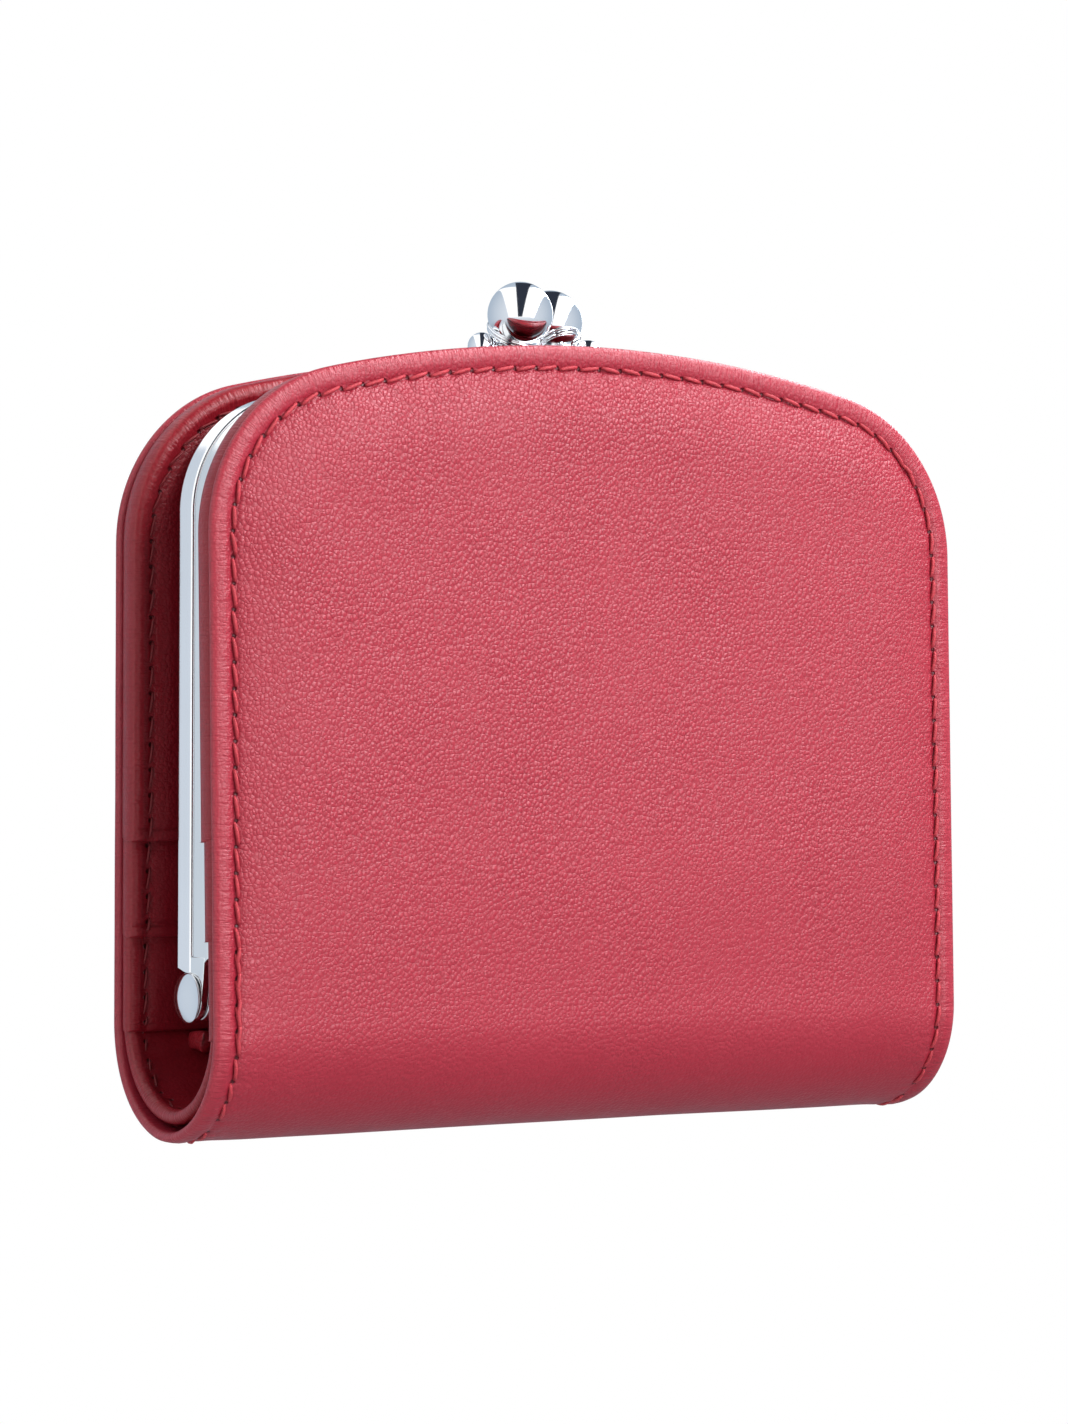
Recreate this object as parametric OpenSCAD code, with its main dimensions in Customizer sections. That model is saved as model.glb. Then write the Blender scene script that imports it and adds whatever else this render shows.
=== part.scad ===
// Bifold leather wallet lying on its rear cover, with a kiss lock coin purse as a page between the covers.
// X runs along the fold, +Y from the fold to the clasp, +Z from the rear cover to the front cover.
// The origin is the centre of the face that it rests on. Millimetres and degrees.

/* [Covers] */
// Width of both covers along the fold
cover_w = 105; // [96:0.5:116]
// Height from the outermost line of the fold to the top of the crown
cover_h = 93.5; // [88:0.5:104]
// Thickness of the closed wallet at the fold, measured between the rims of the covers
fold_d = 26.6; // [25.5:0.1:30]
// Angle by which the front cover leans in towards the rear cover
cover_lean = 1.7; // [0.5:0.1:2.2]
// Radius of the two top corners of a cover
cover_corner = 20; // [14:0.5:26]
// Radius of the shallow crown along the top of a cover
cover_crown = 160; // [130:1:260]
// Thickness of the outer leather
leather_t = 1.2; // [0.9:0.1:1.5]
// How far the padded middle of a cover stands out from its rim
pad_rise = 1.2; // [0.6:0.1:2]
// Width of the sloping border round the padded middle
pad_run = 13; // [10:0.5:18]
// Width of the flat sewn rim outside the padding
rim_w = 4; // [3:0.5:6]
// Thickness of the stiffener board
board_t = 0.6; // [0.4:0.1:0.8]
// Thickness of the lining leather round the board
lining_t = 1.4; // [1.1:0.1:1.6]
// Width of the dark gap between the outer leather and the lining inside the fold
fold_gap = 0.8; // [0.3:0.1:1.2]

/* [Card pockets] */
// Thickness of one pocket panel
pocket_t = 0.6; // [0.5:0.05:0.65]
// Depth of the slit behind a pocket panel
slit_t = 0.2; // [0.1:0.05:0.3]
// Width of the sewn margin round a pocket
pocket_seam = 4; // [3:0.5:6]
// Inset of the pocket panels from the edge of the cover
pocket_inset = 0.6; // [0.3:0.1:1.5]
// Height above the fold of the mouth of the lowest pocket panel
mouth_low = 14.5; // [14.2:0.1:16]
// Height above the fold of the mouth of the middle pocket panel
mouth_mid = 23.5; // [20:0.5:28]
// Height above the fold of the mouth of the upper pocket panel
mouth_high = 34.5; // [30:0.5:42]

/* [Purse frame] */
// Width of the purse frame over its two arms
frame_w = 94.2; // [84:0.2:95]
// Height of the frame's top edge above the fold
frame_h = 91.3; // [85:0.1:92]
// Height above the fold of the plane where the two frame halves meet
seam_h = 9.6; // [9.4:0.1:10.4]
// Thickness of one frame half
half_t = 3.6; // [3.2:0.1:3.8]
// Depth of the frame section, from its outer face inwards
frame_depth = 4.5; // [4:0.1:5.5]
// Wall of the channel that grips the leather
channel_wall = 0.85; // [0.7:0.05:1]
// Radius of the frame's two top corners
frame_corner = 14.5; // [10:0.5:18]
// Radius of the frame's crown
frame_crown = 158; // [130:1:250]
// Gap between the two closed halves
seam_gap = 0.1; // [0.05:0.05:0.3]

/* [Frame hinge] */
// Height of the hinge rivets above the fold
rivet_h = 16.3; // [15:0.1:19]
// Radius of a rivet's shank
rivet_r = 1; // [0.8:0.05:1.2]
// Radius of a rivet's head
head_r = 2.95; // [2.5:0.05:3.2]
// Thickness of a rivet's head
head_t = 0.9; // [0.6:0.1:1.2]
// Radius of the closed end of a rivet's shank
tail_r = 1.8; // [1.5:0.1:2.2]
// Thickness of the closed end of a rivet's shank
tail_t = 0.6; // [0.4:0.1:0.8]
// Radius of the round eyes at the ends of the arms
eye_r = 2.7; // [2.4:0.05:2.9]
// Thickness of an eye
eye_t = 1; // [0.9:0.05:1.1]
// Length of an eye's neck inside the channel
neck_l = 2; // [1:0.1:4]
// Running clearance round a rivet's shank
rivet_clear = 0.05; // [0.02:0.01:0.1]
// Sideways clearance between an eye and its neighbours
eye_clear = 0.15; // [0.1:0.05:0.25]
// Largest opening angle of the purse frame
frame_swing = 55; // [30:1:60]

/* [Kiss lock] */
// Diameter of a clasp ball
ball_d = 7.7; // [6:0.1:7.8]
// Sideways clearance between the two balls as they pass
ball_clear = 0.3; // [0.2:0.1:0.8]
// Height of the balls' centres above the frame's top edge
ball_h = 7; // [5.7:0.1:8]
// How far each ball leans over the seam towards the other half
ball_lean = 2.6; // [1.5:0.1:3]
// Diameter of the small ball at the end of the cross bar
bead_d = 3; // [2:0.1:3.4]
// Sideways place of the small ball's centre
bead_x = 7.9; // [7:0.1:9]
// Height of the small balls' centres above the frame's top edge
bead_h = 3.4; // [2.6:0.1:3.8]
// Radius of the clasp's post
post_r = 1; // [0.8:0.05:1.2]
// Radius of the cross bar
bar_r = 0.7; // [0.5:0.05:0.9]
// Radius of the ring that the ball is seated in, to the middle of its wire
ring_r = 2.9; // [2.4:0.1:3.1]
// Radius of the ring's wire
wire_r = 0.55; // [0.4:0.05:0.6]

/* [Coin pouch] */
// Thickness of the pouch leather
pouch_t = 0.9; // [0.6:0.05:0.95]
// Height of the pouch's bottom above the fold
pouch_low = 9.5; // [9:0.1:10.5]
// How far the rear wall of the pouch bulges
rear_bulge = 2.1; // [1:0.1:2.2]
// How far the front wall of the pouch bulges
front_bulge = 3; // [1:0.1:4.5]
// Width of the curved border of a bulge
bulge_run = 22; // [14:0.5:26]
// Width of the pouch between the rivets
pouch_w = 86; // [70:0.5:87]
// Radius of the pouch's lower corners
pouch_corner = 6; // [3:0.5:8]
// Width of the cord that is pressed into the frame's channel
cord_w = 1.2; // [0.8:0.1:1.6]
// Length of the side gussets above the rivets
gusset_h = 40; // [25:1:48]
// Thickness of the gusset leather
gusset_t = 0.5; // [0.3:0.05:0.6]
// Height of the flat hem along the bottom of a pouch wall
pouch_hem = 2; // [1:0.1:4]
// Width of the tab that sews the pouch to the fold
tab_w = 76; // [50:1:80]

/* [Hidden] */
$fn = 96;
FINE = 360;
PAD_STEPS = 4;

// Clearance between soft pieces that lie on each other
soft_clear = 0.1;
// Gap between the wedges of the fold, which part along the hinge lines
wedge_gap = 0.15;
// Angle of each of the two loose wedges of the fold
wedge_arc = 56;
// Overlap that makes a cut run clean through
cut = 1;
// Overlap that joins a cover to its end of the fold
weld = 0.05;

// Fold: a half turn and the lean, round an axis along X
fold_r = fold_d / 2;
fold_y = -cover_h / 2 + fold_r;
fold_z = pad_rise + fold_r;
fold_arc = 180 + cover_lean;
end_arc = fold_arc / 2 - wedge_arc;
mid_arc = fold_arc / 2;
cover_half = cover_w / 2;
cover_top = cover_h - fold_r;
stack_low = leather_t + lining_t;

// Purse page, in the part's own Y and Z
base_y = -cover_h / 2;
seam_z = pad_rise + seam_h;
frame_half = frame_w / 2;
frame_top = base_y + frame_h;
rivet_y = base_y + rivet_h;
arm_low = rivet_y + eye_r + eye_clear;
grip_low = arm_low + neck_l;
slot_t = half_t - 2 * channel_wall;
slot_z = channel_wall;
wall_z = slot_z + slot_t - soft_clear - pouch_t;
pouch_y = base_y + pouch_low;
rivet_inside = frame_half - 2 * eye_t - 2 * eye_clear;
pouch_half = pouch_w / 2;
ball_r = ball_d / 2;
bead_r = bead_d / 2;
ball_at = [(ball_d + ball_clear) / 2, frame_top + ball_h, -ball_lean];
foot_at = [ball_at.x + post_r / 2, frame_top - post_r / 2, half_t / 2];
bead_at = [bead_x, frame_top + bead_h, -bar_r / 2];

leather_red = [0.72, 0.20, 0.25];
lining_red = [0.60, 0.14, 0.19];
board_grey = [0.62, 0.60, 0.56];
foam_white = [0.90, 0.89, 0.86];
nickel = [0.82, 0.84, 0.87];
paper_tan = [0.74, 0.66, 0.50];

// Arched panel outline: straight sides, two round corners and a shallow crown, each tangent to the next
module arch(half_w, low, top, crown, corner) {
    corner_y = top - crown + sqrt(pow(crown - corner, 2) - pow(half_w - corner, 2));
    meet_x = (half_w - corner) * crown / (crown - corner);
    translate([-half_w, low]) square([2 * half_w, corner_y - low]);
    for (side = [-1, 1])
        translate([side * (half_w - corner), corner_y]) circle(corner);
    intersection() {
        translate([0, top - crown]) circle(crown, $fn = FINE);
        translate([-meet_x, low]) square([2 * meet_x, top - low + cut]);
    }
}

// The same outline drawn inset by a margin on its sides and top
module inset_arch(half_w, low, top, crown, corner, margin) {
    arch(half_w - margin, low, top - margin, crown - margin, corner - margin);
}

module cover_outline(margin, low = 0) {
    inset_arch(cover_half, low, cover_top, cover_crown, cover_corner, margin);
}

module frame_outline(margin, low) {
    inset_arch(frame_half, low, frame_top, frame_crown, frame_corner, margin);
}

// Section of a padded slab: flat in the middle, curving down by rise over the last run at both ends
module pad_section(half_l, base, rise, run) {
    slope = [for (i = [0:PAD_STEPS]) [half_l - run * (1 - i / PAD_STEPS),
                                      base + rise * (1 - pow(i / PAD_STEPS, 2))]];
    mirrored = [for (i = [PAD_STEPS:-1:0]) [-slope[i].x, slope[i].y]];
    polygon(concat([[-half_l, 0], [half_l, 0]], [for (i = [PAD_STEPS:-1:0]) slope[i]],
                   [for (i = [PAD_STEPS:-1:0]) mirrored[i]]));
}

// Trims its children, standing on Z = 0 between low and top in Y, to the padded section both ways
module pad_trim(half_w, low, top, base, rise, run) {
    intersection() {
        children();
        rotate([90, 0, 0])
            linear_extrude(4 * cover_h, center = true) pad_section(half_w, base, rise, run);
        translate([0, (low + top) / 2, 0]) rotate([90, 0, 90])
            linear_extrude(2 * cover_w, center = true) pad_section((top - low) / 2, base, rise, run);
    }
}

// Cover frame: Z = 0 is the rim's outer face, +Z points out of the wallet, Y = 0 is where the fold starts
module on_rear_cover() {
    translate([0, fold_y, pad_rise]) mirror([0, 0, 1]) children();
}

module on_front_cover() {
    translate([0, fold_y, fold_z]) rotate([-cover_lean, 0, 0]) translate([0, 0, fold_r]) children();
}

// Slice of the fold round its centre, between two angles counted from -Z towards -Y
module fold_slice(from, to, outer, thick, shift) {
    middle = (from + to) / 2;
    reach = 2 * fold_d;
    rotate([90, 0, 90])
        linear_extrude(cover_w, center = true) intersection() {
            translate([shift, 0]) difference() {
                circle(outer, $fn = FINE);
                circle(outer - thick, $fn = FINE);
            }
            polygon([[0, 0], for (a = [from, middle, to]) reach * [-sin(a), -cos(a)]]);
        }
}

module leather_slice(from, to) {
    fold_slice(from, to, fold_r, leather_t, 0);
}

module lining_slice(from, to) {
    fold_slice(from, to, fold_r - leather_t, lining_t, fold_gap);
}

module on_fold() {
    translate([0, fold_y, fold_z]) children();
}

// The fold's centre seen from a cover, with its angles counted from that cover
module from_cover() {
    translate([0, 0, -fold_r]) mirror([0, 0, 1]) children();
}

// Angle that half the gap between two wedges takes at the outer face
wedge_trim = wedge_gap / 2 / fold_r * 180 / PI;

// Padding between the outer leather and the board, thinned towards the sewn rim
module padding_shape(grow) {
    run = pad_run - rim_w;
    low = rim_w - grow;
    top = cover_top - rim_w + grow;
    pad_half = cover_half - rim_w + grow;
    rise = pad_rise * pow(run / pad_run, 2);
    translate([0, 0, -leather_t])
        pad_trim(pad_half, low, top, pad_rise - rise, rise, run)
            linear_extrude(pad_rise) cover_outline(rim_w - grow, low);
}

// Outer leather of one cover with its end of the fold
module cover_leather() {
    difference() {
        union() {
            translate([0, 0, -leather_t])
                pad_trim(cover_half, -weld, cover_top, leather_t, pad_rise, pad_run)
                    linear_extrude(leather_t + pad_rise) cover_outline(0, -weld);
            from_cover() leather_slice(0, end_arc - wedge_trim);
        }
        padding_shape(soft_clear);
    }
}

module stiffener() {
    translate([0, 0, -leather_t - board_t])
        linear_extrude(board_t) cover_outline(rim_w, rim_w);
}

// Lining of one cover with its end of the fold and a bed for the board
module cover_lining() {
    difference() {
        union() {
            translate([0, 0, -stack_low])
                linear_extrude(lining_t) cover_outline(0, -weld);
            from_cover() lining_slice(0, end_arc - wedge_trim);
        }
        translate([0, 0, -leather_t - board_t])
            linear_extrude(board_t + cut) cover_outline(rim_w - soft_clear, rim_w - soft_clear);
    }
}

// One card pocket: a panel sewn on three sides, with a slit behind it that is open towards the fold
module card_pocket(level, mouth) {
    mouth_y = mouth - fold_r;
    translate([0, 0, -stack_low - (level + 1) * pocket_t]) difference() {
        linear_extrude(pocket_t) cover_outline(pocket_inset, mouth_y);
        translate([0, 0, pocket_t - slit_t])
            linear_extrude(slit_t + cut) cover_outline(pocket_inset + pocket_seam, mouth_y - cut);
    }
}

// Purse half frame: Z = 0 is the seam and +Z points away from the other half
module on_front_half() {
    translate([0, 0, seam_z]) children();
}

module on_rear_half() {
    translate([0, 0, seam_z]) rotate([0, 180, 0]) children();
}

// Arched channel that opens inwards, with a flat eye on each arm
module half_frame(eye_x) {
    difference() {
        translate([0, 0, seam_gap / 2]) linear_extrude(half_t - seam_gap / 2) difference() {
            frame_outline(0, arm_low);
            frame_outline(frame_depth, arm_low - cut);
        }
        translate([0, 0, slot_z]) linear_extrude(slot_t) difference() {
            frame_outline(channel_wall, arm_low - cut);
            frame_outline(frame_depth + cut, arm_low - 2 * cut);
        }
    }
    for (side = [-1, 1])
        translate([side * (eye_x - eye_t / 2), rivet_y, 0]) rotate([90, 0, 90])
            linear_extrude(eye_t, center = true) difference() {
                union() {
                    circle(eye_r);
                    translate([0, seam_gap / 2]) square([grip_low - rivet_y, eye_r]);
                }
                circle(rivet_r + rivet_clear);
            }
}

// Cord that wedges the leather into the channel
module frame_cord() {
    translate([0, 0, slot_z + soft_clear / 2])
        linear_extrude(slot_t - pouch_t - 2 * soft_clear) difference() {
            frame_outline(channel_wall + soft_clear, grip_low + soft_clear);
            frame_outline(channel_wall + soft_clear + cord_w, grip_low - cut);
        }
}

// Rivet along +X from the tail to the head, drawn for the right side
module hinge_rivet() {
    shank_l = frame_half + eye_clear - rivet_inside;
    translate([rivet_inside - tail_t, rivet_y, seam_z]) rotate([0, 90, 0]) {
        cylinder(r = tail_r, h = tail_t);
        cylinder(r = rivet_r, h = tail_t + shank_l + head_t / 2);
        translate([0, 0, tail_t + shank_l]) {
            cylinder(r = head_r, h = head_t / 2);
            translate([0, 0, head_t / 2])
                cylinder(r1 = head_r, r2 = head_r - head_t / 2, h = head_t / 2);
        }
    }
}

module rod(from, to, r) {
    way = to - from;
    translate(from) rotate([0, acos(way.z / norm(way)), atan2(way.y, way.x)]) cylinder(r = r, h = norm(way));
}

// Arm of one clasp ball: a post on the frame's crown, a ring that seats the ball, a cross bar and its bead
module clasp_arm() {
    way = ball_at - foot_at;
    unit = way / norm(way);
    seat = sqrt(pow(ball_r + soft_clear / 2, 2) - pow(ring_r, 2));
    ring_at = ball_at - seat * unit;
    bar_end = foot_at + unit * (bead_at.y - foot_at.y) / unit.y;
    difference() {
        union() {
            rod(foot_at, ball_at, post_r);
            rod(bead_at, bar_end, bar_r);
            translate(bead_at) sphere(bead_r);
            translate(ring_at) rotate([0, acos(unit.z), atan2(unit.y, unit.x)])
                rotate_extrude() translate([ring_r, 0]) circle(wire_r, $fn = 32);
        }
        translate(ball_at) sphere(ball_r + soft_clear / 2);
        translate([0, 0, -2 * half_t]) linear_extrude(4 * half_t) frame_outline(0, arm_low);
    }
}

module clasp_ball() {
    translate(ball_at) sphere(ball_r);
}

// Pouch outline: gripped by the frame above the eyes, narrower and round cornered below them
module pouch_outline(low) {
    difference() {
        inset_arch(frame_half, grip_low + soft_clear, frame_top, frame_crown, frame_corner,
                   channel_wall + soft_clear);
        translate([-frame_w, low - frame_h]) square([2 * frame_w, frame_h]);
    }
    intersection() {
        translate([-pouch_half, low]) square([2 * pouch_half, grip_low + cut - low]);
        union() {
            for (side = [-1, 1])
                translate([side * (pouch_half - pouch_corner), pouch_y + pouch_corner]) circle(pouch_corner);
            translate([pouch_corner - pouch_half, pouch_y])
                square([2 * (pouch_half - pouch_corner), frame_h]);
            translate([-pouch_half, pouch_y + pouch_corner]) square([2 * pouch_half, frame_h]);
        }
    }
}

// Bulging leather wall with a flat border that sits in the frame's channel
module pouch_wall(low, bulge) {
    margin = frame_depth + 3 * soft_clear;
    translate([0, 0, wall_z]) {
        difference() {
            linear_extrude(pouch_t) pouch_outline(low);
            translate([0, 0, -cut]) linear_extrude(pouch_t + 2 * cut)
                frame_outline(margin + pouch_t, low + pouch_hem + pouch_t);
        }
        difference() {
            bulge_block(low + pouch_hem, margin, bulge);
            translate([0, 0, -pouch_t]) bulge_block(low + pouch_hem + pouch_t, margin + pouch_t, bulge);
        }
    }
}

module bulge_block(low, margin, bulge) {
    pad_trim(frame_half - margin, low, frame_top - margin, pouch_t, bulge, bulge_run)
        linear_extrude(pouch_t + bulge) frame_outline(margin, low);
}

// Trough below the hinge: the bottom and the low front lip, clear of the front wall as it turns
module pouch_trough() {
    lip_z = wall_z + pouch_t;
    lip_top = rivet_y - sqrt(pow(lip_z + 3 * soft_clear, 2) - pow(wall_z, 2));
    half_l = pouch_half - pouch_corner;
    translate([-half_l, pouch_y, seam_z - wall_z + soft_clear])
        cube([2 * half_l, pouch_t, 2 * wall_z - soft_clear + pouch_t]);
    translate([-half_l, pouch_y, seam_z + wall_z])
        cube([2 * half_l, lip_top - pouch_y, pouch_t]);
}

// Folded side gusset: two triangular leaves that meet in a fold inside the pouch
module gusset() {
    edge_x = frame_half - frame_depth - 2 * soft_clear;
    low = rivet_y + eye_r + eye_clear;
    depth = gusset_h * sin(frame_swing / 2);
    leaf_z = 3 * gusset_t / 2;
    for (side = [-1, 1])
        translate([0, 0, seam_z + side * (leaf_z - gusset_t / 2) - gusset_t / 2])
            linear_extrude(gusset_t) gusset_leaf(edge_x, low, depth);
    translate([0, 0, seam_z - leaf_z]) linear_extrude(2 * leaf_z) difference() {
        gusset_leaf(edge_x, low, depth);
        translate([gusset_t, 0]) gusset_leaf(edge_x, low, depth);
    }
}

module gusset_leaf(edge_x, low, depth) {
    polygon([[edge_x, low], [edge_x, low + gusset_h], [edge_x - depth, low + gusset_h]]);
}

// Leather tab from the pouch's bottom to the lining inside the fold
module tab() {
    inner_r = fold_r - leather_t - lining_t - soft_clear;
    tab_y = pouch_y + pouch_t;
    top_z = seam_z - wall_z - pouch_t - soft_clear;
    translate([0, tab_y, 0]) difference() {
        translate([-tab_w / 2, 0, 0]) cube([tab_w, pouch_t, top_z]);
        translate([0, fold_y + fold_gap - tab_y, fold_z]) difference() {
            rotate([0, 90, 0]) cylinder(r = 2 * fold_d, h = 2 * cover_w, center = true, $fn = FINE);
            rotate([0, 90, 0]) cylinder(r = inner_r, h = 2 * cover_w, center = true, $fn = FINE);
        }
    }
}

module rear_cover_leather() {
    color(leather_red) on_rear_cover() cover_leather();
}

module front_cover_leather() {
    color(leather_red) on_front_cover() cover_leather();
}

module rear_lining() {
    color(lining_red) on_rear_cover() cover_lining();
}

module front_lining() {
    color(lining_red) on_front_cover() cover_lining();
}

module rear_padding() {
    color(foam_white) on_rear_cover() padding_shape(0);
}

module front_padding() {
    color(foam_white) on_front_cover() padding_shape(0);
}

module rear_stiffener() {
    color(board_grey) on_rear_cover() stiffener();
}

module front_stiffener() {
    color(board_grey) on_front_cover() stiffener();
}

module rear_card_pocket_low() {
    color(lining_red) on_rear_cover() card_pocket(0, mouth_low);
}

module rear_card_pocket_mid() {
    color(lining_red) on_rear_cover() card_pocket(1, mouth_mid);
}

module rear_card_pocket_high() {
    color(lining_red) on_rear_cover() card_pocket(2, mouth_high);
}

module front_card_pocket_low() {
    color(lining_red) on_front_cover() card_pocket(0, mouth_low);
}

module front_card_pocket_mid() {
    color(lining_red) on_front_cover() card_pocket(1, mouth_mid);
}

module front_card_pocket_high() {
    color(lining_red) on_front_cover() card_pocket(2, mouth_high);
}

module spine_cover_rear() {
    color(leather_red) on_fold() leather_slice(end_arc + wedge_trim, mid_arc - wedge_trim);
}

module spine_cover_front() {
    color(leather_red) on_fold() leather_slice(mid_arc + wedge_trim, fold_arc - end_arc - wedge_trim);
}

module spine_lining_rear() {
    color(lining_red) on_fold() lining_slice(end_arc + wedge_trim, mid_arc - wedge_trim);
}

module spine_lining_front() {
    color(lining_red) on_fold() lining_slice(mid_arc + wedge_trim, fold_arc - end_arc - wedge_trim);
}

module rear_half_frame() {
    color(nickel) on_rear_half() half_frame(frame_half - eye_t - eye_clear);
}

module front_half_frame() {
    color(nickel) on_front_half() half_frame(frame_half);
}

module rear_frame_cord() {
    color(paper_tan) on_rear_half() frame_cord();
}

module front_frame_cord() {
    color(paper_tan) on_front_half() frame_cord();
}

module left_hinge_rivet() {
    color(nickel) mirror([1, 0, 0]) hinge_rivet();
}

module right_hinge_rivet() {
    color(nickel) hinge_rivet();
}

module rear_clasp_arm() {
    color(nickel) on_rear_half() clasp_arm();
}

module front_clasp_arm() {
    color(nickel) on_front_half() clasp_arm();
}

module rear_clasp_ball() {
    color(nickel) on_rear_half() clasp_ball();
}

module front_clasp_ball() {
    color(nickel) on_front_half() clasp_ball();
}

module pouch_rear_wall() {
    color(leather_red) on_rear_half() pouch_wall(pouch_y, rear_bulge);
}

module pouch_front_wall() {
    color(leather_red) on_front_half() pouch_wall(rivet_y, front_bulge);
}

module pouch_bottom() {
    color(leather_red) pouch_trough();
}

module left_gusset() {
    color(lining_red) mirror([1, 0, 0]) gusset();
}

module right_gusset() {
    color(lining_red) gusset();
}

module page_tab() {
    color(leather_red) tab();
}

rear_cover_leather();
rear_padding();
rear_stiffener();
rear_lining();
rear_card_pocket_low();
rear_card_pocket_mid();
rear_card_pocket_high();
spine_cover_rear();
spine_cover_front();
spine_lining_rear();
spine_lining_front();
front_cover_leather();
front_padding();
front_stiffener();
front_lining();
front_card_pocket_low();
front_card_pocket_mid();
front_card_pocket_high();
rear_half_frame();
front_half_frame();
rear_frame_cord();
front_frame_cord();
left_hinge_rivet();
right_hinge_rivet();
rear_clasp_arm();
front_clasp_arm();
rear_clasp_ball();
front_clasp_ball();
pouch_rear_wall();
pouch_front_wall();
pouch_bottom();
left_gusset();
right_gusset();
page_tab();
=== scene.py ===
# Looks of a closed bifold leather wallet with a kiss lock coin purse between its covers.
# Lengths in the mesh code are millimetres; points are scaled to metres when a mesh is made.
import math

import bmesh
import bpy
import numpy as np
from mathutils import Matrix, Vector, noise


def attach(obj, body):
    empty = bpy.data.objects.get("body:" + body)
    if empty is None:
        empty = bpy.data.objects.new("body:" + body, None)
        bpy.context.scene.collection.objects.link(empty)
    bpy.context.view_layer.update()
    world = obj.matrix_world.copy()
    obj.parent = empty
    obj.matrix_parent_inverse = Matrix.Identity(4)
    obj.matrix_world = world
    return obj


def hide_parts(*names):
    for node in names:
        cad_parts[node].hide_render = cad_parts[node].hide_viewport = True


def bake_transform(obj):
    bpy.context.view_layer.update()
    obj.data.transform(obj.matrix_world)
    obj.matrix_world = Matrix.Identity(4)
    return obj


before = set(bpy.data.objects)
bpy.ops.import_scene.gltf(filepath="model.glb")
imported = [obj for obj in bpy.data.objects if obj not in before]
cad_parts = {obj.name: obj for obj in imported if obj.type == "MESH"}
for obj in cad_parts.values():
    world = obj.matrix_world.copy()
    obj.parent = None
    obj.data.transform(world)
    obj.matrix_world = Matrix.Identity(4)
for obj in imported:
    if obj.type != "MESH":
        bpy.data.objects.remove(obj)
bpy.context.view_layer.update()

MM = 0.001
# Covers: half width, height of the flat panel, crown radius, corner radius
HALF_W, PANEL_H, CROWN, CORNER = 52.5, 80.2, 160.0, 20.0
# Fold: centre, outer radius, lean of the front cover
FOLD_Y, FOLD_Z, FOLD_R = -33.45, 14.5, 13.3
LEAN = math.radians(1.7)
FOLD_L = FOLD_R * (math.pi + LEAN)
FOLD_GAP = 0.8
LEATHER_T, LINING_T, POCKET_T = 1.2, 1.4, 0.6
PAD = 1.2
STITCH_M = 2.8
MOUTHS = (-1.6, 9.9, 21.2)
# Lining: how far its edge stays inside the outer leather's, what its turned edge adds, its play
LINING_IN, LINING_TURN, PLAY = 0.55, 0.30, 0.03
# Radii of the rounded edges
EDGE_R, LINING_EDGE_R = 0.62, 0.85
# Margin where the close rings end, and from there to the middle: along a cover and along the fold
SPINE_M, SPINE_SPAN, SPINE_REACH = 14.2, 30.0, 38.3
# Margin in millimetres that is 1 in the stitch coordinates
UV_SPAN = 20.0
# Rings round an edge, step between points, half the length that a hinge blends
EDGE_RINGS, STEP, BEND_HALF = 7, 0.75, 4.7
HINGES = [math.radians(a) for a in (34.85, 90.85, 146.85)]
CUTS = [FOLD_R * math.radians(a) for a in (62.85, 118.85)]
# Purse frame: half width, top edge, crown and corner radii, seam height
FRAME_W, FRAME_TOP, FRAME_CROWN, FRAME_CORNER, SEAM_Z = 47.1, 44.55, 158.0, 14.5, 10.8
RIVET_Y, ARM_LOW = -30.45, -27.6


def rnd(x, y, z=0.0, seed=0.0):
    """Smooth noise of about -0.5 to 0.5."""
    return noise.noise(Vector((x + 13.7 * seed, y - 7.1 * seed, z + 3.3 * seed)))


# Mesh tools
def new_mesh(name, verts, faces, mat, uv=None, merge=True):
    me = bpy.data.meshes.new(name)
    me.from_pydata([(x * MM, y * MM, z * MM) for x, y, z in verts], [], faces)
    if uv is not None:
        layer = me.uv_layers.new(name="Stitch")
        idx = np.zeros(len(me.loops), np.int32)
        me.loops.foreach_get("vertex_index", idx)
        layer.data.foreach_set("uv", np.asarray(uv, np.float32)[idx].ravel())
    bm = bmesh.new()
    bm.from_mesh(me)
    if merge:
        bmesh.ops.remove_doubles(bm, verts=bm.verts, dist=2e-6)
        bmesh.ops.dissolve_degenerate(bm, dist=1e-7, edges=bm.edges)
    bmesh.ops.recalc_face_normals(bm, faces=bm.faces)
    for f in bm.faces:
        f.smooth = True
    bm.to_mesh(me)
    bm.free()
    ob = bpy.data.objects.new(name, me)
    bpy.context.scene.collection.objects.link(ob)
    me.materials.append(mat)
    return ob


def grid_faces(rings, count, offset=0, close_rings=False, close_points=False):
    faces = []
    for k in range(rings if close_rings else rings - 1):
        a, b = offset + k * count, offset + ((k + 1) % rings) * count
        for j in range(count if close_points else count - 1):
            j2 = (j + 1) % count
            faces.append((a + j, a + j2, b + j2, b + j))
    return faces


def capped(faces, rings, count):
    """Faces with the first and the last ring closed."""
    return faces + [tuple(reversed(range(count))), tuple((rings - 1) * count + i for i in range(count))]


def unit(v):
    return v / np.linalg.norm(v)


def square_to(way):
    """Two directions square to way and to each other."""
    ref = np.array([0.0, 0.0, 1.0]) if abs(way[2]) < 0.9 else np.array([0.0, 1.0, 0.0])
    a = unit(np.cross(way, ref))
    return a, np.cross(way, a)


def turned(q, a, b):
    return math.cos(q) * a + math.sin(q) * b


def run_along(q):
    """Distance of each point of a line from its start."""
    return np.concatenate([[0], np.cumsum(np.linalg.norm(np.diff(q, axis=0), axis=1))])


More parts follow.
